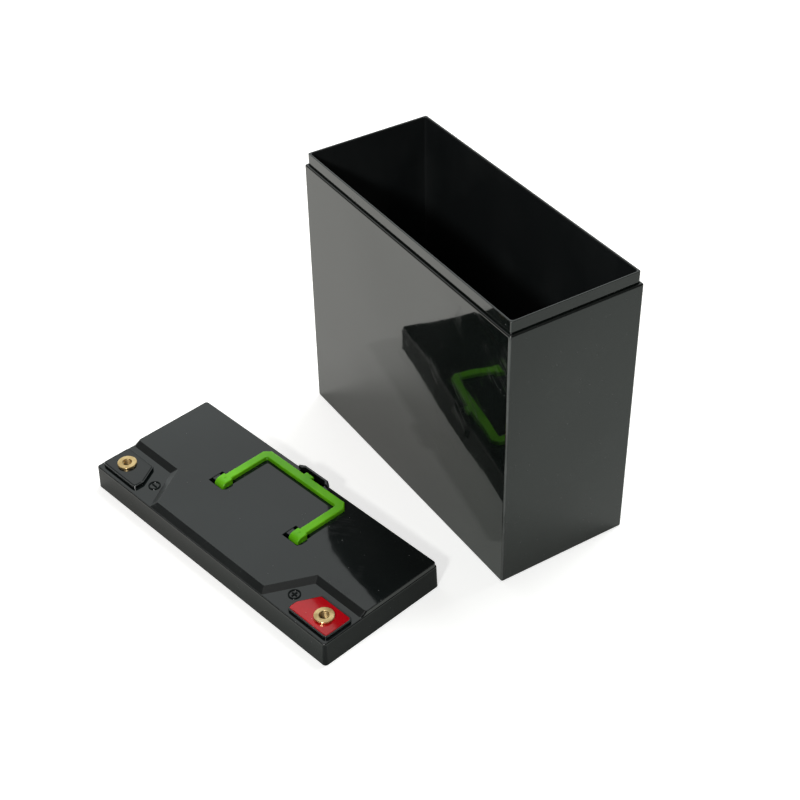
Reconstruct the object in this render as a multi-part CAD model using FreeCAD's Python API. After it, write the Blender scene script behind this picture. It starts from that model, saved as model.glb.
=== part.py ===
import FreeCAD, Part
import math
import os

# Empty battery case in millimetres: an open tub standing upright, and its lid taken off and
# lying flat on the floor in front of it, turned a little.
# Origin at the middle of the tub's underside. X runs along the long side, Y away from the
# front long face, Z up.

# Tub
case_length = 181.0
case_width = 75.2
ledge_height = 150.0
neck_height = 6.5
side_wall = 2.6
neck_wall = 1.1
floor_thickness = 3.0
case_corner_radius = 1.2
neck_corner_radius = 0.8
cavity_corner_radius = 1.3
floor_fillet = 1.0
foot_fillet = 0.8
ledge_fillet = 0.95
rim_fillet = 0.2
rim_inner_radius = 0.5
groove_width = 0.25
groove_depth = 0.4

# Where the lid lies on the floor
lid_yaw = 11.68
lid_gap = 27.1
lid_shift_x = -5.6

# Lid shell
lid_overhang = 0.2
lid_fit = 0.25
skirt_height = 13.9
skirt_inset = 0.55
lid_corner_radius = 2.0
deck_fillet = 0.8
hem_fillet = 0.3
roof_thickness = 2.4
lid_wall = 2.2
neck_seat_gap = 0.5
upper_corner_radius = 2.0

# Raised plateau between and behind the two terminal recesses
plateau_rise = 2.1
plateau_margin = 0.9
plateau_front_margin = 1.2
plateau_draft = 0.1
slope_run = 3.5
recess_depth = 24.4
recess_back_length = 33.5
recess_front_length = 46.3
plateau_corner_radius = 1.6
recess_end_radius = 1.5
recess_valley_radius = 0.8
slope_corner_radius = 0.7
plateau_fillet = 0.45

# Terminal pads and the plates let into them
pad_end_margin = 2.3
pad_front_margin = 3.2
pad_length = 28.1
pad_width = 17.4
pad_cut_length = 6.1
pad_cut_width = 11.3
pad_height = 1.7
pad_corner_radius = 2.2
pad_rim = 0.7
pad_fillet = 0.4
inlay_depth = 1.1
inlay_clearance = 0.05
plate_stand = 0.2
plate_bevel = 0.3

# Brass terminals with a female thread, and their back nuts
terminal_from_end = 12.8
terminal_from_front = 11.8
flange_diameter = 10.2
flange_thickness = 1.3
flange_fillet = 0.3
shank_diameter = 8.0
shank_clearance = 0.1
shank_tail = 1.5
thread_bore_diameter = 4.2
thread_bore_depth = 9.0
mouth_diameter = 5.3
mouth_depth = 0.55
nut_across_flats = 13.0
nut_thickness = 4.0
nut_clearance = 0.05

# Polarity rings on the deck
mark_from_end = 35.2
mark_from_front = 12.5
mark_diameter = 6.5
mark_line = 0.7
mark_bar_length = 3.4
mark_relief = 0.35

# Carry handle, folded flat
handle_shift_x = -0.7
pivot_shift_y = 1.2
pivot_depth = 2.0
leg_spacing = 58.6
handle_reach = 31.7
bar_width = 4.7
bar_thickness = 2.3
bar_gap = 0.2
bar_fillet = 0.6
bar_corner_cut = 3.2
bar_inner_radius = 1.2
tab_width = 5.5
tab_reach = 1.9
foot_width = 6.8
foot_front = 4.3
foot_nose_radius = 3.6
foot_back = 2.5
foot_hub_radius = 2.3
foot_fillet_radius = 0.5
foot_dimple_diameter = 1.3
foot_dimple_depth = 0.25
pin_diameter = 2.5
pin_clearance = 0.06
pin_grip = 1.7
pin_end_gap = 0.2

# Wells in the lid that the handle's feet sit in
well_left_gap = 3.9
well_right_gap = 0.8
well_front_gap = 0.6
well_back_gap = 1.9
well_floor_gap = 0.4
ear_gap = 0.25
ear_cover = 0.4
ear_half_width = 2.2
boss_wall = 2.6
boss_floor = 1.5

# Finger notch at the back and the lip round it
notch_width = 18.5
notch_length = 6.0
notch_depth = 6.0
notch_taper = 1.6
notch_corner_radius = 0.4
lip_wall = 1.2
lip_rise = 1.3
lip_proud = 0.9
lip_base_width = 23.3
lip_top_width = 17.3
lip_land = 0.9
lip_drop = 7.0
lip_corner_radius = 0.4
lip_fillet = 0.25

# Sizes that follow from the ones above
lid_length = case_length + 2 * lid_overhang
lid_width = case_width + 2 * lid_overhang
neck_inset = side_wall - neck_wall
neck_length = case_length - 2 * neck_inset
neck_width = case_width - 2 * neck_inset
rim_height = ledge_height + neck_height
deck_z = skirt_height
plateau_z = deck_z + plateau_rise
roof_z = deck_z - roof_thickness
half_x = lid_length / 2
half_y = lid_width / 2
pivot_y = pivot_shift_y
pivot_z = plateau_z - pivot_depth
bar_low_z = plateau_z + bar_gap
bar_top_z = bar_low_z + bar_thickness
nose_back = foot_front - foot_nose_radius
nose_rise = bar_top_z - pivot_z - foot_nose_radius
swing = math.hypot(nose_back, nose_rise) + foot_nose_radius


def vec(x, y, z):
    return FreeCAD.Vector(x, y, z)


def box(x0, x1, y0, y1, z0, z1):
    return Part.makeBox(x1 - x0, y1 - y0, z1 - z0, vec(x0, y0, z0))


# A plan outline with a round at each corner, as a wire at one height. The radius is one value
# for all the corners or a list with one for each.
def round_outline(points, radii, z):
    count = len(points)
    edges = []
    joints = []
    for i in range(count):
        radius = radii[i] if isinstance(radii, list) else radii
        here = vec(points[i][0], points[i][1], z)
        before = vec(points[i - 1][0], points[i - 1][1], z)
        after = vec(points[(i + 1) % count][0], points[(i + 1) % count][1], z)
        back = (before - here).normalize()
        ahead = (after - here).normalize()
        half_angle = back.getAngle(ahead) / 2
        setback = radius / math.tan(half_angle)
        middle = (back + ahead).normalize()
        centre = here + middle * (radius / math.sin(half_angle))
        joints.append((here + back * setback, centre - middle * radius, here + ahead * setback))
    for i in range(count):
        start, mid, end = joints[i]
        following = joints[(i + 1) % count][0]
        edges.append(Part.Arc(start, mid, end).toShape())
        edges.append(Part.makeLine(end, following))
    return Part.Wire(edges)


def rectangle(length, width):
    a = length / 2
    b = width / 2
    return [(-a, -b), (a, -b), (a, b), (-a, b)]


def round_block(points, radius, z0, z1):
    face = Part.Face(round_outline(points, radius, z0))
    return face.extrude(vec(0, 0, z1 - z0))


# Each side of a plan outline moved inwards by its own distance. The outline runs anticlockwise.
def moved_outline(points, distances):
    count = len(points)
    lines = []
    for i in range(count):
        x0, y0 = points[i]
        x1, y1 = points[(i + 1) % count]
        length = math.hypot(x1 - x0, y1 - y0)
        ux = (x1 - x0) / length
        uy = (y1 - y0) / length
        lines.append((x0 - uy * distances[i], y0 + ux * distances[i], ux, uy))
    moved = []
    for i in range(count):
        ax, ay, au, av = lines[i - 1]
        bx, by, bu, bv = lines[i]
        cross = au * bv - av * bu
        t = ((bx - ax) * bv - (by - ay) * bu) / cross
        moved.append((ax + au * t, ay + av * t))
    return moved


# A solid between two outlines with the same number of points, with flat sides.
def tapered_block(low, z0, high, z1):
    bottom = [vec(p[0], p[1], z0) for p in low]
    top = [vec(p[0], p[1], z1) for p in high]
    count = len(bottom)
    faces = [Part.Face(Part.makePolygon(bottom + [bottom[0]]))]
    faces.append(Part.Face(Part.makePolygon(top + [top[0]])))
    for i in range(count):
        k = (i + 1) % count
        ring = [bottom[i], bottom[k], top[k], top[i], bottom[i]]
        faces.append(Part.Face(Part.makePolygon(ring)))
    solid = Part.Solid(Part.Shell(faces))
    if solid.Volume < 0:
        solid.reverse()
    return solid


# Edges that join two given points, in either direction.
def edges_between(shape, pairs):
    found = []
    for edge in shape.Edges:
        ends = [v.Point for v in edge.Vertexes]
        if len(ends) != 2:
            continue
        for a, b in pairs:
            direct = ends[0].distanceToPoint(a) + ends[1].distanceToPoint(b)
            crossed = ends[0].distanceToPoint(b) + ends[1].distanceToPoint(a)
            if min(direct, crossed) < 0.001:
                found.append(edge)
    return found


# Edges that lie wholly at one height.
def edges_at(shape, z):
    found = []
    for edge in shape.Edges:
        reach = edge.BoundBox
        if abs(reach.ZMin - z) < 1e-4 and abs(reach.ZMax - z) < 1e-4:
            found.append(edge)
    return found


def mirrored(shape):
    return shape.mirror(vec(0, 0, 0), vec(1, 0, 0))


# Tub: four walls, a floor, a ledge all round and a thinner neck above it.
case = round_block(rectangle(case_length, case_width), case_corner_radius, 0, ledge_height)
case = case.makeFillet(foot_fillet, edges_at(case, 0))
case = case.makeFillet(ledge_fillet, edges_at(case, ledge_height))
neck_plan = rectangle(neck_length, neck_width)
neck_low_z = ledge_height - groove_depth
neck = round_block(neck_plan, neck_corner_radius, neck_low_z, rim_height)
neck = neck.makeFillet(rim_fillet, edges_at(neck, rim_height))
groove_plan = rectangle(neck_length + 2 * groove_width, neck_width + 2 * groove_width)
groove_radius = neck_corner_radius + groove_width
groove = round_block(groove_plan, groove_radius, neck_low_z, ledge_height + 1)
cavity_plan = rectangle(case_length - 2 * side_wall, case_width - 2 * side_wall)
cavity = round_block(cavity_plan, cavity_corner_radius, floor_thickness, rim_height + 1)
cavity = cavity.makeFillet(floor_fillet, edges_at(cavity, floor_thickness))
case_body = case.cut(groove).fuse(neck).cut(cavity).removeSplitter()
inner_x = case_length / 2 - side_wall + 0.01
inner_y = case_width / 2 - side_wall + 0.01
mouth_edges = []
for edge in edges_at(case_body, rim_height):
    if edge.BoundBox.XMax < inner_x and edge.BoundBox.YMax < inner_y:
        mouth_edges.append(edge)
case_body = case_body.makeFillet(rim_inner_radius, mouth_edges)

# Lid, modelled about its own middle with its rim on the floor, and turned into place at the end.
# Its side is drawn in a little towards the deck.
skirt_low = rectangle(lid_length, lid_width)
skirt_high = rectangle(lid_length - 2 * skirt_inset, lid_width - 2 * skirt_inset)
high_radius = lid_corner_radius - skirt_inset
low_wire = round_outline(skirt_low, lid_corner_radius, 0)
high_wire = round_outline(skirt_high, high_radius, deck_z)
skirt = Part.makeLoft([low_wire, high_wire], True, True)
skirt = skirt.makeFillet(deck_fillet, edges_at(skirt, deck_z))
skirt = skirt.makeFillet(hem_fillet, edges_at(skirt, 0))

# The plateau. Its front, diagonal and recess sides slope, its ends and back are nearly upright.
front_y = -half_y + plateau_front_margin
recess_y = -half_y + recess_depth
back_y = half_y - plateau_margin
end_x = half_x - plateau_margin
valley_x = half_x - recess_back_length
corner_x = half_x - recess_front_length
foot_outline = [
    (-corner_x, front_y),
    (corner_x, front_y),
    (valley_x, recess_y),
    (end_x, recess_y),
    (end_x, back_y),
    (-end_x, back_y),
    (-end_x, recess_y),
    (-valley_x, recess_y),
]
run = slope_run
draft = plateau_draft
crown_outline = moved_outline(foot_outline, [run, run, run, draft, draft, draft, run, run])
corner_radii = [
    slope_corner_radius,
    slope_corner_radius,
    recess_valley_radius,
    recess_end_radius,
    plateau_corner_radius,
    plateau_corner_radius,
    recess_end_radius,
    recess_valley_radius,
]
foot_wire = round_outline(foot_outline, corner_radii, deck_z)
crown_wire = round_outline(crown_outline, corner_radii, plateau_z)
plateau = Part.makeLoft([foot_wire, crown_wire], True, True)
plateau = plateau.makeFillet(plateau_fillet, edges_at(plateau, plateau_z))

# Right terminal pad, with the pocket for its plate. The left one mirrors it.
pad_x1 = half_x - pad_end_margin
pad_x0 = pad_x1 - pad_length
pad_y0 = -half_y + pad_front_margin
pad_y1 = pad_y0 + pad_width
pad_outline = [
    (pad_x0, pad_y0),
    (pad_x1, pad_y0),
    (pad_x1, pad_y1),
    (pad_x0 + pad_cut_length, pad_y1),
    (pad_x0, pad_y1 - pad_cut_width),
]
pad_z = deck_z + pad_height
pad = round_block(pad_outline, pad_corner_radius, deck_z, pad_z)
pad = pad.makeFillet(pad_fillet, edges_at(pad, pad_z))
pocket_outline = moved_outline(pad_outline, [pad_rim] * 5)
pocket_floor_z = pad_z - inlay_depth
pocket_radius = pad_corner_radius - pad_rim
pocket = round_block(pocket_outline, pocket_radius, pocket_floor_z, pad_z + 1)
plate_outline = moved_outline(pad_outline, [pad_rim + inlay_clearance] * 5)
plate_top_z = pad_z + plate_stand
plate = round_block(plate_outline, pocket_radius, pocket_floor_z, plate_top_z)
plate = plate.makeChamfer(plate_bevel, edges_at(plate, plate_top_z))

# Right terminal: a round flange on the plate, a shank through the roof and a back nut under it.
terminal_x = half_x - terminal_from_end
terminal_y = -half_y + terminal_from_front
flange_top_z = plate_top_z + flange_thickness
nut_z = roof_z - nut_thickness
shank_low_z = nut_z - shank_tail
shank_base = vec(terminal_x, terminal_y, shank_low_z)
flange_base = vec(terminal_x, terminal_y, plate_top_z)
flange = Part.makeCylinder(flange_diameter / 2, flange_thickness, flange_base)
flange = flange.makeFillet(flange_fillet, edges_at(flange, flange_top_z))
shank = Part.makeCylinder(shank_diameter / 2, plate_top_z - shank_low_z, shank_base)
bore_base = vec(terminal_x, terminal_y, flange_top_z - thread_bore_depth)
bore = Part.makeCylinder(thread_bore_diameter / 2, thread_bore_depth + 1, bore_base)
mouth_base = vec(terminal_x, terminal_y, flange_top_z - mouth_depth)
mouth = Part.makeCone(thread_bore_diameter / 2, mouth_diameter / 2, mouth_depth, mouth_base)
terminal = flange.fuse(shank).cut(bore).cut(mouth).removeSplitter()
shank_hole_radius = shank_diameter / 2 + shank_clearance
shank_hole = Part.makeCylinder(shank_hole_radius, flange_top_z - shank_low_z, shank_base)
plate = plate.cut(shank_hole)
nut_reach = nut_across_flats / math.sqrt(3)
nut_points = []
for k in range(7):
    turn = math.radians(60 * k)
    nut_x = terminal_x + nut_reach * math.cos(turn)
    nut_y = terminal_y + nut_reach * math.sin(turn)
    nut_points.append(vec(nut_x, nut_y, nut_z))
nut = Part.Face(Part.makePolygon(nut_points)).extrude(vec(0, 0, nut_thickness))
nut_base = vec(terminal_x, terminal_y, nut_z)
nut_hole = Part.makeCylinder(shank_diameter / 2 + nut_clearance, nut_thickness, nut_base)
nut = nut.cut(nut_hole)


# A raised ring on the deck beside a pad, with a minus or a plus inside it.
def polarity_mark(centre_x, plus):
    centre_y = -half_y + mark_from_front
    low = vec(centre_x, centre_y, deck_z)
    ring = Part.makeCylinder(mark_diameter / 2, mark_relief, low)
    ring = ring.cut(Part.makeCylinder(mark_diameter / 2 - mark_line, mark_relief, low))
    a = mark_bar_length / 2
    b = mark_line / 2
    top = deck_z + mark_relief
    pieces = [ring, box(centre_x - a, centre_x + a, centre_y - b, centre_y + b, deck_z, top)]
    if plus:
        pieces.append(box(centre_x - b, centre_x + b, centre_y - a, centre_y + a, deck_z, top))
    return pieces


# Wells for the handle's feet, each with a thick wall round it under the roof.
middle_x = handle_shift_x
leg_left = middle_x - leg_spacing / 2
leg_right = middle_x + leg_spacing / 2
well_y0 = pivot_y - foot_front - well_front_gap
well_y1 = pivot_y + foot_back + well_back_gap
well_z = pivot_z - swing - well_floor_gap
hole_radius = pin_diameter / 2 + pin_clearance
ear_top_z = pivot_z + hole_radius + ear_cover
wells = []
bosses = []
pin_spans = []
for leg_x in (leg_left, leg_right):
    foot_x0 = leg_x - foot_width / 2
    x0 = foot_x0 - well_left_gap
    x1 = leg_x + foot_width / 2 + well_right_gap
    ear_x1 = foot_x0 - ear_gap
    ear = box(x0, ear_x1, pivot_y - ear_half_width, pivot_y + ear_half_width, well_z, ear_top_z)
    wells.append(box(x0, x1, well_y0, well_y1, well_z, plateau_z + 1).cut(ear))
    low = well_z - boss_floor
    boss_y0 = well_y0 - boss_wall
    boss_y1 = well_y1 + boss_wall
    bosses.append(box(x0 - boss_wall, x1 + boss_wall, boss_y0, boss_y1, low, plateau_z))
    pin_x0 = ear_x1 - pin_grip
    pin_x1 = x1 + pin_grip
    pin_spans.append((pin_x0, pin_x1))
    hole_length = pin_x1 - pin_x0 + 2 * pin_end_gap
    hole_base = vec(pin_x0 - pin_end_gap, pivot_y, pivot_z)
    wells.append(Part.makeCylinder(hole_radius, hole_length, hole_base, vec(1, 0, 0)))

# Finger notch behind the middle of the handle, and the lip that carries the lid's wall round it.
lip_y1 = half_y + lip_proud
lip_y0 = back_y - lip_land
notch_y1 = lip_y1 - lip_wall
notch_y0 = notch_y1 - notch_length - notch_taper
notch_z = plateau_z - notch_depth
a = notch_width / 2
t = notch_taper
notch_plan = [
    (-a, notch_y0),
    (a, notch_y0),
    (a, notch_y1 - t),
    (a - t, notch_y1),
    (t - a, notch_y1),
    (-a, notch_y1 - t),
]
notch = round_block(notch_plan, notch_corner_radius, notch_z, plateau_z + lip_rise + 1)
low = notch_z - boss_floor
boss_y0 = notch_y0 - boss_wall
bosses.append(box(-a - boss_wall, a + boss_wall, boss_y0, half_y - skirt_inset, low, plateau_z))
c = lip_base_width / 2
d = lip_top_width / 2
lip_plan = [(-c, lip_y0), (c, lip_y0), (c, back_y), (d, lip_y1), (-d, lip_y1), (-c, back_y)]
lip_top_z = plateau_z + lip_rise
lip_shoulder_z = plateau_z - lip_drop
lip_foot_z = lip_shoulder_z - (lip_y1 - lip_y0)
lip = round_block(lip_plan, lip_corner_radius, lip_foot_z, lip_top_z)
lip = lip.makeFillet(lip_fillet, edges_at(lip, lip_top_z))
wedge_points = [
    vec(-c - 1, lip_y0 - 1, lip_foot_z - 1),
    vec(-c - 1, lip_y1 + 1, lip_foot_z - 1),
    vec(-c - 1, lip_y1 + 1, lip_shoulder_z + 1),
    vec(-c - 1, lip_y0 - 1, lip_foot_z - 1),
]
lip = lip.cut(Part.Face(Part.makePolygon(wedge_points)).extrude(vec(lip_base_width + 2, 0, 0)))

# The space under the lid: a seat for the tub's neck, a narrower space above it and a hollow in
# the plateau, all stopped by the walls round the wells and the notch.
seat_plan = rectangle(neck_length + 2 * lid_fit, neck_width + 2 * lid_fit)
seat_z = neck_height + neck_seat_gap
seat = round_block(seat_plan, neck_corner_radius + lid_fit, -1, seat_z)
upper_plan = rectangle(lid_length - 2 * lid_wall, lid_width - 2 * lid_wall)
upper = round_block(upper_plan, upper_corner_radius, seat_z, roof_z)
hollow_plan = moved_outline(crown_outline, [roof_thickness] * 8)
hollow = tapered_block(hollow_plan, roof_z, hollow_plan, plateau_z - roof_thickness)
space = seat.fuse([upper, hollow])
space = space.cut(Part.makeCompound(bosses))

marks = polarity_mark(half_x - mark_from_end, True) + polarity_mark(mark_from_end - half_x, False)
lid = skirt.fuse([plateau, pad, mirrored(pad), lip] + marks)
lid = lid.cut(space)
lid = lid.cut(Part.makeCompound([pocket, mirrored(pocket), shank_hole, mirrored(shank_hole), notch]))
lid = lid.cut(Part.makeCompound(wells))
lid = lid.removeSplitter()

# Carry handle: a flat bar bent into a U, a finger tab, and two feet on pins.
reach_y = pivot_y + handle_reach
outer_a = leg_spacing / 2 + bar_width / 2
inner_a = leg_spacing / 2 - bar_width / 2
bar_start_y = pivot_y + foot_back - bar_width / 2
cut = bar_corner_cut
tab_a = tab_width / 2
bar_plan = [
    (middle_x - outer_a, bar_start_y),
    (middle_x - inner_a, bar_start_y),
    (middle_x - inner_a, reach_y - bar_width),
    (middle_x + inner_a, reach_y - bar_width),
    (middle_x + inner_a, bar_start_y),
    (middle_x + outer_a, bar_start_y),
    (middle_x + outer_a, reach_y - cut),
    (middle_x + outer_a - cut, reach_y),
    (middle_x + tab_a, reach_y),
    (middle_x + tab_a, reach_y + tab_reach),
    (middle_x - tab_a, reach_y + tab_reach),
    (middle_x - tab_a, reach_y),
    (middle_x - outer_a + cut, reach_y),
    (middle_x - outer_a, reach_y - cut),
]
bar_points = [vec(p[0], p[1], bar_low_z) for p in bar_plan]
bar = Part.Face(Part.makePolygon(bar_points + [bar_points[0]])).extrude(vec(0, 0, bar_thickness))
inner_pairs = []
for side in (-1, 1):
    low = vec(middle_x + side * inner_a, reach_y - bar_width, bar_low_z)
    high = vec(middle_x + side * inner_a, reach_y - bar_width, bar_top_z)
    inner_pairs.append((low, high))
bar = bar.makeFillet(bar_inner_radius, edges_between(bar, inner_pairs))
bar = bar.makeFillet(bar_fillet, edges_at(bar, bar_top_z))
handle_parts = [bar]
for leg_x, span in ((leg_left, pin_spans[0]), (leg_right, pin_spans[1])):
    x0 = leg_x - foot_width / 2
    x1 = leg_x + foot_width / 2
    back = pivot_y + foot_back
    hub = foot_hub_radius
    front = pivot_y - foot_front
    nose = foot_nose_radius
    turn = nose * (1 - math.sqrt(0.5))
    front_low = vec(x0, front, pivot_z)
    nose_front = vec(x0, front, bar_top_z - nose)
    nose_mid = vec(x0, front + turn, bar_top_z - turn)
    nose_top = vec(x0, front + nose, bar_top_z)
    back_top = vec(x0, back, bar_top_z)
    back_low = vec(x0, back, pivot_z - hub)
    hub_low = vec(x0, pivot_y, pivot_z - hub)
    hub_turn = hub * math.sqrt(0.5)
    hub_mid = vec(x0, pivot_y - hub_turn, pivot_z - hub_turn)
    hub_front = vec(x0, pivot_y - hub, pivot_z)
    profile = [
        Part.Arc(nose_front, nose_mid, nose_top).toShape(),
        Part.makeLine(nose_top, back_top),
        Part.makeLine(back_top, back_low),
        Part.makeLine(back_low, hub_low),
        Part.Arc(hub_low, hub_mid, hub_front).toShape(),
        Part.makeLine(hub_front, front_low),
        Part.makeLine(front_low, nose_front),
    ]
    foot = Part.Face(Part.Wire(profile)).extrude(vec(foot_width, 0, 0))
    crown = []
    for edge in foot.Edges:
        reach = edge.BoundBox
        upper = reach.ZMin > pivot_z - 1e-4 and reach.ZMax > pivot_z + 1e-3
        if reach.XLength < 1e-4 and upper and (reach.YMax < pivot_y or reach.ZLength < 1e-4):
            crown.append(edge)
    foot = foot.makeFillet(foot_fillet_radius, crown)
    pin_base = vec(span[0], pivot_y, pivot_z)
    pin = Part.makeCylinder(pin_diameter / 2, span[1] - span[0], pin_base, vec(1, 0, 0))
    handle_parts.append(foot)
    handle_parts.append(pin)
handle = handle_parts[0].fuse(handle_parts[1:])
for leg_x in (leg_left, leg_right):
    low = vec(leg_x, pivot_y + foot_dimple_diameter / 2, bar_top_z - foot_dimple_depth)
    handle = handle.cut(Part.makeCylinder(foot_dimple_diameter / 2, foot_dimple_depth + 1, low))
handle = handle.removeSplitter()

# The lid's middle stands off the tub's front face by a gap at its nearest corner.
yaw = math.radians(lid_yaw)
lid_middle_y = -case_width / 2 - lid_gap - half_x * math.sin(yaw) - half_y * math.cos(yaw)
lid_turn = FreeCAD.Rotation(vec(0, 0, 1), lid_yaw)
lid_place = FreeCAD.Placement(vec(lid_shift_x, lid_middle_y, 0), lid_turn)


def placed(shape):
    moved = shape.copy()
    moved.Placement = lid_place.multiply(moved.Placement)
    return moved


nodes = {
    "case_body": case_body,
    "lid_cover": placed(lid),
    "carry_handle": placed(handle),
    "positive_terminal": placed(terminal),
    "negative_terminal": placed(mirrored(terminal)),
    "positive_plate": placed(plate),
    "negative_plate": placed(mirrored(plate)),
    "positive_terminal_nut": placed(nut),
    "negative_terminal_nut": placed(mirrored(nut)),
}

os.makedirs("parts", exist_ok=True)
for name, shape in nodes.items():
    if shape.ShapeType == "Compound" and len(shape.Solids) == 1:
        shape = shape.Solids[0]
    shape.exportStep("parts/" + name + ".step")
    print(name, shape.ShapeType, len(shape.Solids), shape.isValid(), round(shape.Volume, 2))
pivot = lid_place.multVec(vec(middle_x, pivot_y, pivot_z))
right_mouth = lid_place.multVec(vec(terminal_x, terminal_y, flange_top_z))
left_mouth = lid_place.multVec(vec(-terminal_x, terminal_y, flange_top_z))
print("handle pivot", round(pivot.x, 4), round(pivot.y, 4), round(pivot.z, 4))
print("right terminal mouth", round(right_mouth.x, 4), round(right_mouth.y, 4), round(right_mouth.z, 4))
print("left terminal mouth", round(left_mouth.x, 4), round(left_mouth.y, 4), round(left_mouth.z, 4))
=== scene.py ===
import math
import bmesh
import bpy
from mathutils import Matrix, Vector


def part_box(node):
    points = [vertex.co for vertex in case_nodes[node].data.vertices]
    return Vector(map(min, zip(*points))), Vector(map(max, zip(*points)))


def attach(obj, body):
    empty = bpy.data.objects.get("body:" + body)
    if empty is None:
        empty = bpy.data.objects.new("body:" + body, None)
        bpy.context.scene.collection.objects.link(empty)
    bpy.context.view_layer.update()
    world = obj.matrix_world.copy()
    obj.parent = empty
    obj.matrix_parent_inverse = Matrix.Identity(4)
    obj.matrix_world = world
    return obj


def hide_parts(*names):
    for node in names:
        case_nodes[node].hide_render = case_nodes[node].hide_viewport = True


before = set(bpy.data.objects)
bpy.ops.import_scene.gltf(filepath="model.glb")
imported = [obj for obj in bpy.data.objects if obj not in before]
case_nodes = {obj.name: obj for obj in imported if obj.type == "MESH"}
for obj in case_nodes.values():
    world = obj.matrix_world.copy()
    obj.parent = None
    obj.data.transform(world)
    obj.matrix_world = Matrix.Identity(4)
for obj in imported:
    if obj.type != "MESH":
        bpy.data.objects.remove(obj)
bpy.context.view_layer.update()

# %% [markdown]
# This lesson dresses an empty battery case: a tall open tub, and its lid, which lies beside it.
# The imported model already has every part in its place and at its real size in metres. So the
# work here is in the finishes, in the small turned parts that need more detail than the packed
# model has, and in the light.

MM = 0.001
scene = bpy.context.scene
print("packed parts:", ", ".join(sorted(case_nodes)))

# %% [markdown]
# The camera comes from the photograph. The tub's straight edges gave its direction, distance and
# lens: it looks down at the case from the front right, with a slight roll to the left. The other
# way, a camera moved by eye until things line up, would leave small errors in every comparison.

# %% Camera
CAMERA_AZIMUTH = math.radians(58.3517)
CAMERA_ELEVATION = math.radians(38.4611)
CAMERA_ROLL = math.radians(-1.1733)
CAMERA_PLACE = Vector((527.68, -363.94, 548.10)) * MM
CAMERA_LENS = 69.64
SENSOR_WIDTH = 36
NEAREST_SEEN = 0.01

away = Vector((
    math.sin(CAMERA_AZIMUTH) * math.cos(CAMERA_ELEVATION),
    -math.cos(CAMERA_AZIMUTH) * math.cos(CAMERA_ELEVATION),
    math.sin(CAMERA_ELEVATION),
))
level_right = Vector((math.cos(CAMERA_AZIMUTH), math.sin(CAMERA_AZIMUTH), 0))
level_up = away.cross(level_right)
camera_right = level_right * math.cos(CAMERA_ROLL) + level_up * math.sin(CAMERA_ROLL)
camera_up = level_up * math.cos(CAMERA_ROLL) - level_right * math.sin(CAMERA_ROLL)
camera_data = bpy.data.cameras.new("studio_camera")
camera_data.lens = CAMERA_LENS
camera_data.sensor_width = SENSOR_WIDTH
camera_data.clip_start = NEAREST_SEEN
camera = bpy.data.objects.new("studio_camera", camera_data)
camera.matrix_world = Matrix((
    (camera_right.x, camera_up.x, away.x, CAMERA_PLACE.x),
    (camera_right.y, camera_up.y, away.y, CAMERA_PLACE.y),
    (camera_right.z, camera_up.z, away.z, CAMERA_PLACE.z),
    (0, 0, 0, 1),
))
scene.collection.objects.link(camera)
scene.camera = camera
print("camera looks along", [round(-c, 3) for c in away])

# %% [markdown]
# A finish is a small graph of nodes. A few helpers keep each graph short enough to read. They add
# a node, join values with a sum, grade a value from one span to another, and mix, tint or raise
# by a mask. A mask is a value that is 1 where something applies and 0 elsewhere. The last ones
# read places, directions and noise on the real object, in metres, and turn a height into bumps.


# %% Node helpers
def add_node(tree, kind, **settings):
    node = tree.nodes.new(kind)
    for setting, value in settings.items():
        setattr(node, setting, value)
    return node


def combine(tree, operation, *values):
    node = add_node(tree, "ShaderNodeMath", operation=operation)
    for socket, value in zip(node.inputs, values):
        if isinstance(value, bpy.types.NodeSocket):
            tree.links.new(value, socket)
        else:
            socket.default_value = value
    return node.outputs[0]


def graded(tree, value, span, result, kind="LINEAR"):
    grade = add_node(tree, "ShaderNodeMapRange", interpolation_type=kind)
    grade.inputs["From Min"].default_value, grade.inputs["From Max"].default_value = span
    grade.inputs["To Min"].default_value, grade.inputs["To Max"].default_value = result
    tree.links.new(value, grade.inputs["Value"])
    return grade.outputs["Result"]


def mixed(tree, share, first, second):
    mix = add_node(tree, "ShaderNodeMixRGB")
    tree.links.new(share, mix.inputs["Fac"])
    for name, colour in (("Color1", first), ("Color2", second)):
        if isinstance(colour, bpy.types.NodeSocket):
            tree.links.new(colour, mix.inputs[name])
        else:
            mix.inputs[name].default_value = (*colour, 1)
    return mix.outputs["Color"]


def tinted(tree, tone, mask, share, tint):
    return mixed(tree, combine(tree, "MULTIPLY", mask, share), tone, tint)


def raised(tree, value, mask, amount):
    return combine(tree, "ADD", value, combine(tree, "MULTIPLY", mask, amount))


def object_place(tree, turn=(0, 0, 0), shift=(0, 0, 0)):
    place = add_node(tree, "ShaderNodeTexCoord")
    mapping = add_node(tree, "ShaderNodeMapping")
    mapping.inputs["Location"].default_value = shift
    mapping.inputs["Rotation"].default_value = turn
    tree.links.new(place.outputs["Object"], mapping.inputs["Vector"])
    return mapping.outputs["Vector"]


def object_axes(tree):
    axes = add_node(tree, "ShaderNodeSeparateXYZ")
    tree.links.new(object_place(tree), axes.inputs["Vector"])
    return axes.outputs


def facing_axes(tree):
    axes = add_node(tree, "ShaderNodeSeparateXYZ")
    tree.links.new(add_node(tree, "ShaderNodeTexCoord").outputs["Normal"], axes.inputs["Vector"])
    return axes.outputs


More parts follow.
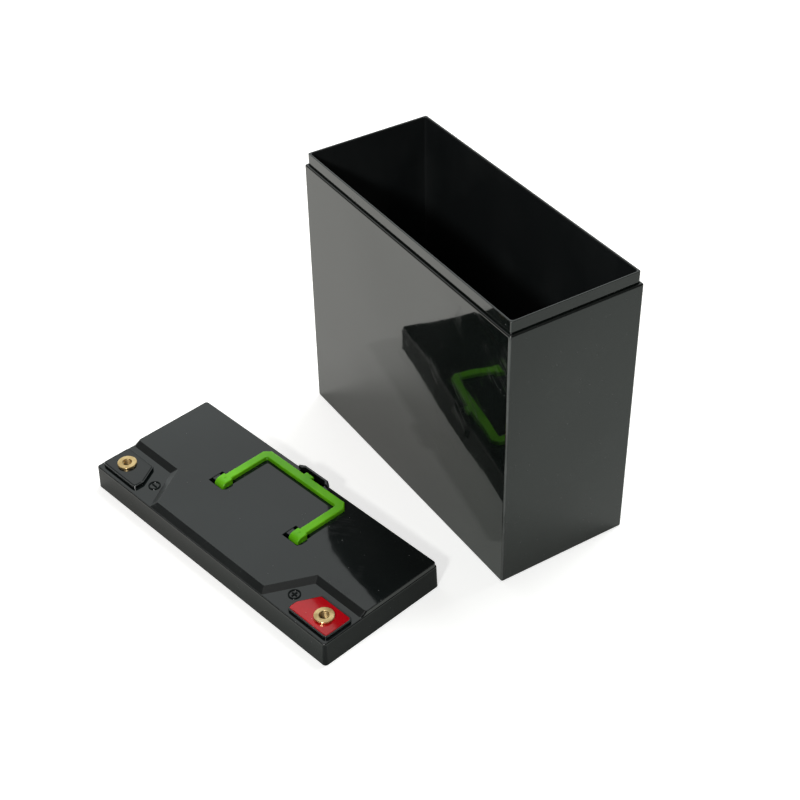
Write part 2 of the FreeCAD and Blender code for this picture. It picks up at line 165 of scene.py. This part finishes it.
def object_noise(tree, scale, detail=2.0, stretch=(1, 1, 1), turn=(0, 0, 0)):
    stretched = add_node(tree, "ShaderNodeVectorMath", operation="MULTIPLY")
    stretched.inputs[1].default_value = stretch
    tree.links.new(object_place(tree, turn), stretched.inputs[0])
    noise = add_node(tree, "ShaderNodeTexNoise")
    noise.inputs["Scale"].default_value = scale
    noise.inputs["Detail"].default_value = detail
    tree.links.new(stretched.outputs["Vector"], noise.inputs["Vector"])
    return noise.outputs["Fac"]


def bumped(tree, height, distance, under=None):
    bump = add_node(tree, "ShaderNodeBump")
    bump.inputs["Strength"].default_value = 1.0
    bump.inputs["Distance"].default_value = distance
    tree.links.new(height, bump.inputs["Height"])
    if under is not None:
        tree.links.new(under, bump.inputs["Normal"])
    return bump.outputs["Normal"]


def new_finish(name):
    finish = bpy.data.materials.new(name)
    finish.use_nodes = True
    return finish, finish.node_tree, finish.node_tree.nodes["Principled BSDF"]


print("helpers are ready")

# %% [markdown]
# The tub and the lid are moulded in black ABS in a polished mould. Such a surface is nearly black
# by itself, and what is seen on it is the room. The polish is never perfect, and use leaves its
# own marks. Dust sits on it as fine specks, here the middles of random cells, and handling leaves
# short hairline scratches, here thin bands of a stretched noise that show only in patches. A
# picture of a scratched surface would do the same, but it would have seams.

# %% Marks of use
SPECK_RIM = (0.05, 0.13)
HAIRLINE_STRETCH = (900, 9, 9)
HAIRLINE_WIDTH = 0.012
HAIRLINE_TURNS = ((0.5, 0.4, 0.9), (0.2, 1.1, 2.2))
HAIRLINE_PATCH = (0.58, 0.68)


def dust_specks(tree, scale, share):
    cells = add_node(tree, "ShaderNodeTexVoronoi")
    cells.inputs["Scale"].default_value = scale
    tree.links.new(object_place(tree), cells.inputs["Vector"])
    near = graded(tree, cells.outputs["Distance"], SPECK_RIM, (1, 0))
    pick = add_node(tree, "ShaderNodeSeparateColor")
    tree.links.new(cells.outputs["Color"], pick.inputs["Color"])
    chosen = combine(tree, "GREATER_THAN", pick.outputs[0], 1 - share)
    return combine(tree, "MULTIPLY", near, chosen)


def hairlines(tree, turn):
    lines = object_noise(tree, scale=1, detail=1, stretch=HAIRLINE_STRETCH, turn=turn)
    off_centre = combine(tree, "ABSOLUTE", combine(tree, "SUBTRACT", lines, 0.5))
    thin = graded(tree, off_centre, (0, HAIRLINE_WIDTH), (1, 0))
    patch = graded(tree, object_noise(tree, scale=45, turn=turn), HAIRLINE_PATCH, (0, 1))
    return combine(tree, "MULTIPLY", thin, patch)


print("dust and hairlines are ready")

# %% [markdown]
# Every black piece starts from the same surface: two near tones of black in slow clouds, a thin
# grey film here and there, and the dust and the hairlines over them. Where the clouds are light,
# the surface is also a little duller.

# %% Worn black
PLASTIC_IOR = 1.5
DARK_CLOUD = 0.6
LIGHT_CLOUD = 1.5
CLOUD_SPAN = (0.3, 0.75)
CLOUD_DULLNESS = (0.7, 1.7)
FILM = (0.05, 0.052, 0.05)
FILM_SPAN = (0.45, 0.75)
FILM_SHARE = (0, 0.05)
DUST = (0.11, 0.115, 0.11)
DUST_SHARE = 0.5
DUST_DULLNESS = 0.4
SCRATCH = (0.08, 0.08, 0.08)
SCRATCH_SHARE = 0.07
SCRATCH_DULLNESS = 0.06


def worn_black(tree, colour, roughness):
    specks = dust_specks(tree, scale=330, share=0.12)
    scratches = combine(tree, "MAXIMUM", *[hairlines(tree, turn) for turn in HAIRLINE_TURNS])
    clouds = object_noise(tree, scale=26, detail=5)
    tone = mixed(tree, clouds, [c * DARK_CLOUD for c in colour], [c * LIGHT_CLOUD for c in colour])
    film = graded(tree, object_noise(tree, scale=7, detail=3), FILM_SPAN, FILM_SHARE)
    tone = mixed(tree, film, tone, FILM)
    tone = tinted(tree, tone, specks, DUST_SHARE, DUST)
    tone = tinted(tree, tone, scratches, SCRATCH_SHARE, SCRATCH)
    rough = graded(tree, clouds, CLOUD_SPAN, [roughness * share for share in CLOUD_DULLNESS])
    rough = raised(tree, rough, specks, DUST_DULLNESS)
    rough = raised(tree, rough, scratches, SCRATCH_DULLNESS)
    return tone, rough, clouds, scratches


print("worn black is ready")

# %% [markdown]
# On the lid the skirt is duller than the top, the slopes are satin with a fine grain, and the
# small polarity marks are dull, so that they read as dark rings. These places are found by their
# height and by the way their faces look, so no pattern has to be laid out by hand. The sizes here
# are heights over the floor, in metres, and how far a face looks up, where 1 is straight up.

# %% Faces of the lid
SKIRT_TOP = 0.0134
SKIRT_BLEND = 0.0004
SKIRT_DULLNESS = 0.12
MARK_TOP = 0.01425
MARK_TOLERANCE = 0.00008
MARK_LOOKS_UP = 0.97
MARK_DULLNESS = 0.30
SLOPE_BEGINS = (0.80, 0.83)
SLOPE_ENDS = (0.89, 0.92)
SLOPE_DULLNESS = 0.26
TOP_GLOSS = 0.56
SKIRT_GLOSS = 0.10
MARK_GLOSS_SHARE = 0.06


def lid_faces(tree, shader, rough):
    height = object_axes(tree)["Z"]
    upward = facing_axes(tree)["Z"]
    skirt = graded(tree, height, (SKIRT_TOP - SKIRT_BLEND, SKIRT_TOP), (1, 0))
    off_mark = combine(tree, "ABSOLUTE", combine(tree, "SUBTRACT", height, MARK_TOP))
    marks = combine(tree, "MULTIPLY", combine(tree, "LESS_THAN", off_mark, MARK_TOLERANCE),
                    combine(tree, "GREATER_THAN", upward, MARK_LOOKS_UP))
    slopes = combine(tree, "MULTIPLY", graded(tree, upward, SLOPE_BEGINS, (0, 1)),
                     graded(tree, upward, SLOPE_ENDS, (1, 0)))
    gloss = graded(tree, skirt, (0, 1), (TOP_GLOSS, SKIRT_GLOSS))
    gloss = combine(tree, "MULTIPLY", gloss, graded(tree, marks, (0, 1), (1, MARK_GLOSS_SHARE)))
    tree.links.new(gloss, shader.inputs["Specular IOR Level"])
    rough = raised(tree, rough, skirt, SKIRT_DULLNESS)
    rough = raised(tree, rough, marks, MARK_DULLNESS)
    rough = raised(tree, rough, slopes, SLOPE_DULLNESS)
    return rough, slopes


print("lid faces are found by their height and direction")

# %% [markdown]
# The inside of the tub wasn't polished: the mould's core leaves a satin face there, which looks
# dark grey and not like a mirror, with broad pale stains. A mask measured on the tub tells inside
# from outside. A second one finds its upright corners, which get a painted highlight: a paler
# line in uneven patches. Both use half sizes from the tub's middle, in metres. The walls at its
# two ends are less glossy.

# %% Inside of the tub
CORE_HALF_LENGTH = 0.0881
CORE_HALF_WIDTH = 0.0352
CORNER_HALF_LENGTH = 0.0899
CORNER_HALF_WIDTH = 0.0370
CORNER_BLEND = 0.0006
LOOKS_SIDEWAYS = (0.75, 0.97)
FRONT_AND_END_GLOSS = (0.66, 0.36)
STAIN_SPAN = (0.42, 0.66)
STAIN_DARK = (0.0115, 0.0138, 0.0144)
STAIN_PALE = (0.0270, 0.0305, 0.0305)
SATIN_ROUGHNESS = (0.30, 0.42)
# Painted highlight on the upright corners: its colour, its noise span and its share.
CORNER_HIGHLIGHT_PAINT = (0.075, 0.08, 0.078)
CORNER_HIGHLIGHT_SPAN = (0.3, 0.7)
CORNER_HIGHLIGHT_SHARE = (0.25, 1)


def tub_inside(tree, shader, tone, rough, clouds):
    axes = object_axes(tree)
    across = combine(tree, "ABSOLUTE", axes["X"])
    deep = combine(tree, "ABSOLUTE", axes["Y"])
    sideways = combine(tree, "ABSOLUTE", facing_axes(tree)["X"])
    gloss = graded(tree, sideways, LOOKS_SIDEWAYS, FRONT_AND_END_GLOSS)
    tree.links.new(gloss, shader.inputs["Specular IOR Level"])
    core = combine(tree, "MULTIPLY", combine(tree, "LESS_THAN", across, CORE_HALF_LENGTH),
                   combine(tree, "LESS_THAN", deep, CORE_HALF_WIDTH))
    stains = object_noise(tree, scale=17, detail=4, stretch=(1, 1, 0.6))
    stains = graded(tree, stains, STAIN_SPAN, (0, 1))
    tone = mixed(tree, core, tone, mixed(tree, stains, STAIN_DARK, STAIN_PALE))
    outside = combine(tree, "MULTIPLY", rough, combine(tree, "SUBTRACT", 1.0, core))
    rough = raised(tree, outside, core, graded(tree, clouds, CLOUD_SPAN, SATIN_ROUGHNESS))
    # Painted highlight: a paler base colour along the upright outer corners, in uneven patches.
    near_end = (CORNER_HALF_LENGTH - CORNER_BLEND, CORNER_HALF_LENGTH)
    near_side = (CORNER_HALF_WIDTH - CORNER_BLEND, CORNER_HALF_WIDTH)
    corners = combine(tree, "MULTIPLY", graded(tree, across, near_end, (0, 1)),
                      graded(tree, deep, near_side, (0, 1)))
    highlight_patches = graded(tree, object_noise(tree, scale=60, detail=4), CORNER_HIGHLIGHT_SPAN, CORNER_HIGHLIGHT_SHARE)
    return tinted(tree, tone, corners, highlight_patches, CORNER_HIGHLIGHT_PAINT), rough


print("the tub's satin inside reaches", CORE_HALF_LENGTH, "m from its middle")

# %% [markdown]
# Now the finish is put together. Below the marks of use lie the shapes that a mould gives: a slow
# waviness from shrinkage, a fine ripple, and on the lid's slopes a grain. Each is only a height,
# so it moves the mirror images and leaves the outline alone. The tub is the waviest, because its
# walls are tall and thin.

# %% Black plastic
RIPPLE_HEIGHT = 0.00002
GRAIN_HEIGHT = 0.00006
SCRATCH_HEIGHT = 0.00001


def gloss_black(name, colour, roughness, wave_height, part=None):
    finish, tree, shader = new_finish(name)
    shader.inputs["IOR"].default_value = PLASTIC_IOR
    tone, rough, clouds, scratches = worn_black(tree, colour, roughness)
    wave = bumped(tree, object_noise(tree, scale=9, detail=1), wave_height)
    surface = bumped(tree, object_noise(tree, scale=70), RIPPLE_HEIGHT, wave)
    if part == "lid":
        rough, slopes = lid_faces(tree, shader, rough)
        grain = combine(tree, "MULTIPLY", object_noise(tree, scale=1300), slopes)
        surface = bumped(tree, grain, GRAIN_HEIGHT, surface)
    if part == "tub":
        tone, rough = tub_inside(tree, shader, tone, rough, clouds)
    surface = bumped(tree, scratches, SCRATCH_HEIGHT, surface)
    tree.links.new(tone, shader.inputs["Base Color"])
    tree.links.new(rough, shader.inputs["Roughness"])
    tree.links.new(surface, shader.inputs["Normal"])
    return finish


def dress(node_name, finish):
    node = case_nodes[node_name]
    node.data.materials.clear()
    node.data.materials.append(finish)
    print(node_name, "wears", finish.name)


dress("case_body", gloss_black("tub_black_abs", (0.0054, 0.0078, 0.0068), roughness=0.033,
                               wave_height=0.0018, part="tub"))
dress("lid_cover", gloss_black("lid_black_abs", (0.0054, 0.0076, 0.0076), roughness=0.036,
                               wave_height=0.0016, part="lid"))
dress("negative_plate", gloss_black("black_plate", (0.0065, 0.0082, 0.0082), roughness=0.07,
                                    wave_height=0.0003))

# %% [markdown]
# The handle and the red plate are coloured plastics. The handle comes from a finely eroded mould,
# so it is half matt, and its colour clouds a little where the melt flowed. The plate is smooth
# and glossier. Both get the same kind of graph with their own numbers. The plate doesn't lie
# quite level in the photograph, which shows in what it mirrors. A slope in the bump stands for
# that, so the plate itself stays where it is.

# %% Coloured plastics
FLOW_SPAN = (0.3, 0.7)
FLOW_DULLNESS = (0.85, 1.2)
PALE_DUST = (0.6, 0.6, 0.55)
PALE_DUST_SHARE = 0.35


def coloured_plastic(name, light, dark, rough, gloss, grain_scale, grain_height, tilt=0.0):
    finish, tree, shader = new_finish(name)
    shader.inputs["IOR"].default_value = PLASTIC_IOR
    shader.inputs["Specular IOR Level"].default_value = gloss
    flow = object_noise(tree, scale=55, detail=4, stretch=(1, 1, 2))
    tone = mixed(tree, graded(tree, flow, FLOW_SPAN, (0, 1)), dark, light)
    specks = dust_specks(tree, scale=420, share=0.08)
    tone = tinted(tree, tone, specks, PALE_DUST_SHARE, PALE_DUST)
    tree.links.new(tone, shader.inputs["Base Color"])
    patchy = graded(tree, flow, FLOW_SPAN, [rough * share for share in FLOW_DULLNESS])
    tree.links.new(patchy, shader.inputs["Roughness"])
    surface = bumped(tree, object_noise(tree, grain_scale, detail=3), grain_height)
    if tilt:
        slope = combine(tree, "MULTIPLY", object_axes(tree)["Y"], -tilt)
        surface = bumped(tree, slope, 1.0, surface)
    tree.links.new(surface, shader.inputs["Normal"])
    return finish


dress("carry_handle", coloured_plastic(
    "green_plastic", light=(0.188, 0.660, 0.006), dark=(0.110, 0.470, 0.002), rough=0.36,
    gloss=0.36, grain_scale=1500, grain_height=0.00001))
dress("positive_plate", coloured_plastic(
    "red_plastic", light=(0.50, 0.004, 0.010), dark=(0.38, 0.002, 0.006), rough=0.06,
    gloss=0.5, grain_scale=500, grain_height=0.000004, tilt=0.084))

# %% [markdown]
# Each terminal is a turned brass insert: a flat round flange with a softened rim, and a threaded
# hole down its middle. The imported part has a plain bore, so a new piece takes its place. Its
# outline is drawn once as a half section, in millimetres, and spun round its axis. The thread's
# ridge is a second small section, spun with a step upwards at each turn. Cutting the ridge from a
# solid would need a heavy boolean for the same look.

# %% Spun shapes
SPIN_STEPS = 96
SAME_POINT = 1e-6
SHARP_ANGLE = math.radians(34)


def spun(section, closed):
    shape = bmesh.new()
    corners = [shape.verts.new((radius * MM, 0, height * MM)) for radius, height in section]
    lines = [shape.edges.new(pair) for pair in zip(corners, corners[1:])]
    if closed:
        lines.append(shape.edges.new((corners[-1], corners[0])))
    bmesh.ops.spin(shape, geom=corners + lines, cent=(0, 0, 0), axis=(0, 0, 1), dvec=(0, 0, 0),
                   angle=2 * math.pi, steps=SPIN_STEPS, use_merge=True)
    bmesh.ops.remove_doubles(shape, verts=shape.verts, dist=SAME_POINT)
    bmesh.ops.recalc_face_normals(shape, faces=shape.faces)
    return shape


def rounded(centre_radius, centre_height, round_radius, start, end, count=5):
    points = []
    for k in range(count + 1):
        turn = math.radians(start + (end - start) * k / count)
        along = centre_radius + round_radius * math.cos(turn)
        points.append((along, centre_height + round_radius * math.sin(turn)))
    return points


def middle_of(node_name):
    low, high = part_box(node_name)
    return (Vector(low) + Vector(high)) / 2, low[2] / MM, high[2] / MM


def as_piece(name, shape, place, finish, node_name):
    bmesh.ops.translate(shape, verts=shape.verts, vec=place)
    mesh = bpy.data.meshes.new(name)
    shape.to_mesh(mesh)
    shape.free()
    mesh.shade_smooth()
    mesh.set_sharp_from_angle(angle=SHARP_ANGLE)
    mesh.materials.append(finish)
    piece = bpy.data.objects.new(name, mesh)
    scene.collection.objects.link(piece)
    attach(piece, "lid")
    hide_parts(node_name)
    print(name, "has", len(mesh.polygons), "faces")


print("spun shapes take", SPIN_STEPS, "steps a turn")

# %% [markdown]
# Brass shows how it was made: a lathe leaves fine rings round the axis, and the air dulls it in
# patches. The rings are a wave pattern centred on each piece, used only as height. The nuts sit
# out of reach behind the lid, so their brass is a little duller and more even.

# %% Turned brass
PATCH_SPAN = (0.35, 0.7)
PATCH_DULLNESS = 1.7
RING_SCALE = 1600
RING_WAVER = 0.4
RING_HEIGHT = 0.000006
TERMINAL_BRASS = {"light": (0.80, 0.60, 0.30), "dark": (0.56, 0.39, 0.17), "rough": 0.26}
NUT_BRASS = {"light": (0.74, 0.55, 0.27), "dark": (0.60, 0.42, 0.18), "rough": 0.30}


def turned_brass(name, centre, light, dark, rough):
    finish, tree, shader = new_finish(name)
    shader.inputs["Metallic"].default_value = 1.0
    patches = graded(tree, object_noise(tree, scale=260, detail=4), PATCH_SPAN, (0, 1))
    tree.links.new(mixed(tree, patches, light, dark), shader.inputs["Base Color"])
    dulled = graded(tree, patches, (0, 1), (rough, rough * PATCH_DULLNESS))
    tree.links.new(dulled, shader.inputs["Roughness"])
    rings = add_node(tree, "ShaderNodeTexWave", wave_type="RINGS", rings_direction="Z")
    rings.inputs["Scale"].default_value = RING_SCALE
    rings.inputs["Distortion"].default_value = RING_WAVER
    tree.links.new(object_place(tree, shift=(-centre.x, -centre.y, 0)), rings.inputs["Vector"])
    tree.links.new(bumped(tree, rings.outputs["Fac"], RING_HEIGHT), shader.inputs["Normal"])
    return finish


print("brass is ready")

# %% [markdown]
# The section runs from the axis under the shank, up its side, round the flange, over the softened
# mouth and down the bore to the drill's cone at its bottom. The bore is as wide as the thread is
# deep, and the ridge then fills it to the size of a tapped hole. The ridge's foot sinks into the
# wall a little, so no gap can be seen.

# %% Terminals
FLANGE_RADIUS = 5.1
FLANGE_THICKNESS = 1.3
FLANGE_ROUND = 0.3
FLANGE_BEVEL = 0.1
SHANK_RADIUS = 4.0
SHANK_BEVEL = 0.4
BORE_DEPTH = 9.0
DRILL_CONE = 0.6
MOUTH_ROUND = 0.25
THREAD_OUTER_RADIUS = 2.5
THREAD_INNER_RADIUS = 2.1
THREAD_PITCH = 0.8
THREAD_SINK = 0.05
THREAD_FOOT = 0.36
THREAD_CREST = 0.072
THREAD_OVER_BOTTOM = 1.1
THREAD_UNDER_TOP = 0.75
TURN_STEPS = 32


def terminal_section(low, top):
    under = top - FLANGE_THICKNESS
    bottom = top - BORE_DEPTH
    mouth = THREAD_OUTER_RADIUS + MOUTH_ROUND
    section = [(0, low), (SHANK_RADIUS - SHANK_BEVEL, low), (SHANK_RADIUS, low + SHANK_BEVEL)]
    section += [(SHANK_RADIUS, under), (FLANGE_RADIUS - FLANGE_BEVEL, under)]
    section += [(FLANGE_RADIUS, under + FLANGE_BEVEL)]
    section += rounded(FLANGE_RADIUS - FLANGE_ROUND, top - FLANGE_ROUND, FLANGE_ROUND, 0, 90)
    section += rounded(mouth, top - MOUTH_ROUND, MOUTH_ROUND, 90, 180)
    section += [(THREAD_OUTER_RADIUS, bottom + DRILL_CONE), (0, bottom)]
    return section


def thread_ridge(shape, low, top):
    foot_radius = THREAD_OUTER_RADIUS + THREAD_SINK
    outline = [
        (foot_radius, low - THREAD_FOOT),
        (THREAD_INNER_RADIUS, low - THREAD_CREST),
        (THREAD_INNER_RADIUS, low + THREAD_CREST),
        (foot_radius, low + THREAD_FOOT),
    ]
    corners = [shape.verts.new((radius * MM, 0, height * MM)) for radius, height in outline]
    face = shape.faces.new(corners)
    turns = (top - low) / THREAD_PITCH
    bmesh.ops.spin(shape, geom=[face], cent=(0, 0, 0), axis=(0, 0, 1),
                   dvec=(0, 0, THREAD_PITCH * MM / TURN_STEPS),
                   angle=2 * math.pi * turns, steps=round(turns * TURN_STEPS))


for side in ("positive", "negative"):
    node_name = side + "_terminal"
    centre, low, top = middle_of(node_name)
    shape = spun(terminal_section(low, top), closed=False)
    thread_ridge(shape, top - BORE_DEPTH + THREAD_OVER_BOTTOM, top - THREAD_UNDER_TOP)
    bmesh.ops.recalc_face_normals(shape, faces=shape.faces)
    finish = turned_brass(side + "_brass", centre, **TERMINAL_BRASS)
    as_piece(side + "_terminal_turned", shape, (centre.x, centre.y, 0), finish, node_name)

# %% [markdown]
# The nut behind each terminal is a hexagon with its corners turned off. A real one is made that
# way too: a round blank with bevelled rims, and six flats cut on it. So the blank is spun and six
# planes cut it, which leaves the curved edges of a real nut at each corner.

# %% Nuts
NUT_FLAT = 6.5
NUT_CORNER = NUT_FLAT / math.cos(math.radians(30))
NUT_BEVEL_SLOPE = 0.58
NUT_BEVEL = (NUT_CORNER - NUT_FLAT) * NUT_BEVEL_SLOPE
NUT_BORE = 4.05
NUT_BORE_BEVEL = 0.3
LID_TURN = math.radians(11.68)


def nut_blank(low, top):
    mouth = NUT_BORE + NUT_BORE_BEVEL
    section = [(mouth, low), (NUT_FLAT, low), (NUT_CORNER, low + NUT_BEVEL)]
    section += [(NUT_CORNER, top - NUT_BEVEL), (NUT_FLAT, top), (mouth, top)]
    section += [(NUT_BORE, top - NUT_BORE_BEVEL), (NUT_BORE, low + NUT_BORE_BEVEL)]
    return spun(section, closed=True)


def cut_flat(shape, outward):
    everything = shape.verts[:] + shape.edges[:] + shape.faces[:]
    bmesh.ops.bisect_plane(shape, geom=everything, plane_co=outward * NUT_FLAT * MM,
                           plane_no=outward, clear_outer=True)
    open_edges = [edge for edge in shape.edges if edge.is_boundary]
    bmesh.ops.holes_fill(shape, edges=open_edges)


for side in ("positive", "negative"):
    node_name = side + "_terminal_nut"
    centre, low, top = middle_of(node_name)
    shape = nut_blank(low, top)
    for k in range(6):
        turn = LID_TURN + math.radians(30 + 60 * k)
        cut_flat(shape, Vector((math.cos(turn), math.sin(turn), 0)))
    bmesh.ops.recalc_face_normals(shape, faces=shape.faces)
    finish = turned_brass(side + "_nut_brass", centre, **NUT_BRASS)
    as_piece(side + "_nut_cut", shape, (centre.x, centre.y, 0), finish, node_name)

# %% [markdown]
# The floor is white paper. It takes the case's soft shadow, and a small glow of its own keeps it
# white to the camera and pale in every reflection. The polished front of the tub mirrors it, and
# in the photograph that mirror darkens towards the ground. So the glow in reflections is weak
# beside the tub and grows towards the front: a painted shadow beside the tub, seen only in
# reflections. A warm tone on the left turns cooler on the right.
# The camera itself sees the glow in plain white, so the paper shows no tint but its own shadow.

# %% Floor
WHITE = (1, 1, 1)
FLOOR_REACH = 6
TINT_TURNS = (-0.02, 0.14)
PAPER_LEFT = (0.74, 0.735, 0.712)
PAPER_RIGHT = (0.71, 0.74, 0.715)
GLOW_LEFT = (0.985, 1.0, 0.93)
GLOW_RIGHT = (0.87, 1.0, 0.91)
PAPER_ROUGHNESS = 0.9
TUB_TO_FRONT = (-0.05, -0.23)
GLOW_MIRRORED = (0.26, 0.66)
GLOW_SEEN = 0.64

floor_mesh = bpy.data.meshes.new("studio_floor")
floor_shape = bmesh.new()
bmesh.ops.create_grid(floor_shape, x_segments=1, y_segments=1, size=FLOOR_REACH)
floor_shape.to_mesh(floor_mesh)
floor_shape.free()
floor = bpy.data.objects.new("studio_floor", floor_mesh)
scene.collection.objects.link(floor)
floor_finish, tree, shader = new_finish("studio_floor")
axes = object_axes(tree)
rays = add_node(tree, "ShaderNodeLightPath").outputs
to_right = graded(tree, axes["X"], TINT_TURNS, (0, 1))
paper = mixed(tree, to_right, PAPER_LEFT, PAPER_RIGHT)
glow = mixed(tree, to_right, GLOW_LEFT, GLOW_RIGHT)
glow = mixed(tree, rays["Is Camera Ray"], glow, WHITE)
# Painted shadow: the glow seen in reflections is weaker near the tub and grows towards the front.
to_front = graded(tree, axes["Y"], TUB_TO_FRONT, GLOW_MIRRORED)
mirrored = combine(tree, "MULTIPLY", rays["Is Glossy Ray"], to_front)
seen = combine(tree, "MULTIPLY", rays["Is Camera Ray"], GLOW_SEEN)
strength = combine(tree, "MAXIMUM", mirrored, seen)
shader.inputs["Roughness"].default_value = PAPER_ROUGHNESS
shader.inputs["Specular IOR Level"].default_value = 0
tree.links.new(paper, shader.inputs["Base Color"])
tree.links.new(glow, shader.inputs["Emission Color"])
tree.links.new(strength, shader.inputs["Emission Strength"])
floor.data.materials.append(floor_finish)
print("floor reaches", floor.dimensions.x / 2, "m each way")

# %% [markdown]
# Gloss black shows the room, so the room needs a shape. In the photograph the flat tops mirror a
# bright wall behind the case, while the slopes on the lid mirror the dark side of the room at the
# front. The world's brightness therefore follows the direction: bright on the far side from the
# camera, half bright overhead, dark on the near side. Each change is gradual, so no edge shows in
# a reflection. The camera itself sees plain white past the floor, from whichever side it looks.

# %% Room
WALL_DIRECTION = (-0.853, 0.522, 0.0)
WALL_BEGINS = (0.30, 0.52)
OVERHEAD_BEGINS = (0.82, 0.97)
ROOM_DARK = 0.09
ROOM_BRIGHT = 1.0
ROOM_OVERHEAD = 0.50
DARK_SIDE = (1.0, 0.90, 0.86)
BRIGHT_SIDE = (0.955, 1.0, 0.99)

world = bpy.data.worlds.new("studio_room")
scene.world = world
world.use_nodes = True
tree = world.node_tree
background = tree.nodes["Background"]
direction = add_node(tree, "ShaderNodeTexCoord").outputs["Generated"]
facing = add_node(tree, "ShaderNodeVectorMath", operation="DOT_PRODUCT")
facing.inputs[1].default_value = WALL_DIRECTION
tree.links.new(direction, facing.inputs[0])
wall = graded(tree, facing.outputs["Value"], WALL_BEGINS, (0, ROOM_BRIGHT - ROOM_DARK),
              "SMOOTHSTEP")
axes = add_node(tree, "ShaderNodeSeparateXYZ")
tree.links.new(direction, axes.inputs["Vector"])
above = graded(tree, axes.outputs["Z"], OVERHEAD_BEGINS, (0, ROOM_OVERHEAD - ROOM_DARK),
               "SMOOTHSTEP")
level = combine(tree, "ADD", combine(tree, "MAXIMUM", wall, above), ROOM_DARK)
brightness = graded(tree, level, (ROOM_DARK, ROOM_BRIGHT), (0, 1))
room_colour = mixed(tree, brightness, DARK_SIDE, BRIGHT_SIDE)
direct = add_node(tree, "ShaderNodeLightPath").outputs["Is Camera Ray"]
room_colour = mixed(tree, direct, room_colour, WHITE)
tree.links.new(room_colour, background.inputs["Color"])
tree.links.new(combine(tree, "MAXIMUM", level, direct), background.inputs["Strength"])
print("room is", ROOM_BRIGHT, "behind and", ROOM_DARK, "in front")

# %% [markdown]
# Three soft lamps light the case. The large one hangs behind and above. It gives the floor most of
# its light and the lid its short shadow towards the viewer. It is kept out of reflections, because
# it would draw a white line along the lid's edges, and the photograph has none. The small one
# stands on the camera's side and brightens the faces turned to the camera. The third stands beside
# it and shows only in reflections, as tiny white spots on the rounded corners of the pads.

# %% Lamps
BACK_AIM = (-0.05, -0.10, 0.05)
FRONT_AIM = (0, -0.10, 0.05)


def soft_lamp(name, place, aim, size, power):
    lamp_data = bpy.data.lights.new(name, "AREA")
    lamp_data.shape = "DISK"
    lamp_data.size = size
    lamp_data.energy = power
    lamp = bpy.data.objects.new(name, lamp_data)
    direction = Vector(aim) - Vector(place)
    lamp.rotation_euler = direction.to_track_quat("-Z", "Y").to_euler()
    lamp.location = place
    scene.collection.objects.link(lamp)
    print(name, "gives", power, "W over", size, "m")
    return lamp


back_lamp = soft_lamp("back_lamp", place=(-0.22, 0.66, 1.42), aim=BACK_AIM, size=0.8, power=17)
back_lamp.visible_glossy = False
soft_lamp("front_lamp", place=(0.75, -1.05, 0.95), aim=FRONT_AIM, size=0.16, power=7)
glint_lamp = soft_lamp("glint_lamp", place=(0.80, -0.95, 1.0), aim=FRONT_AIM, size=0.26,
                       power=11)
glint_lamp.visible_diffuse = False

# %% [markdown]
# The colours are shown as they are, without a film look.

# %% Output
scene.view_settings.view_transform = "Standard"
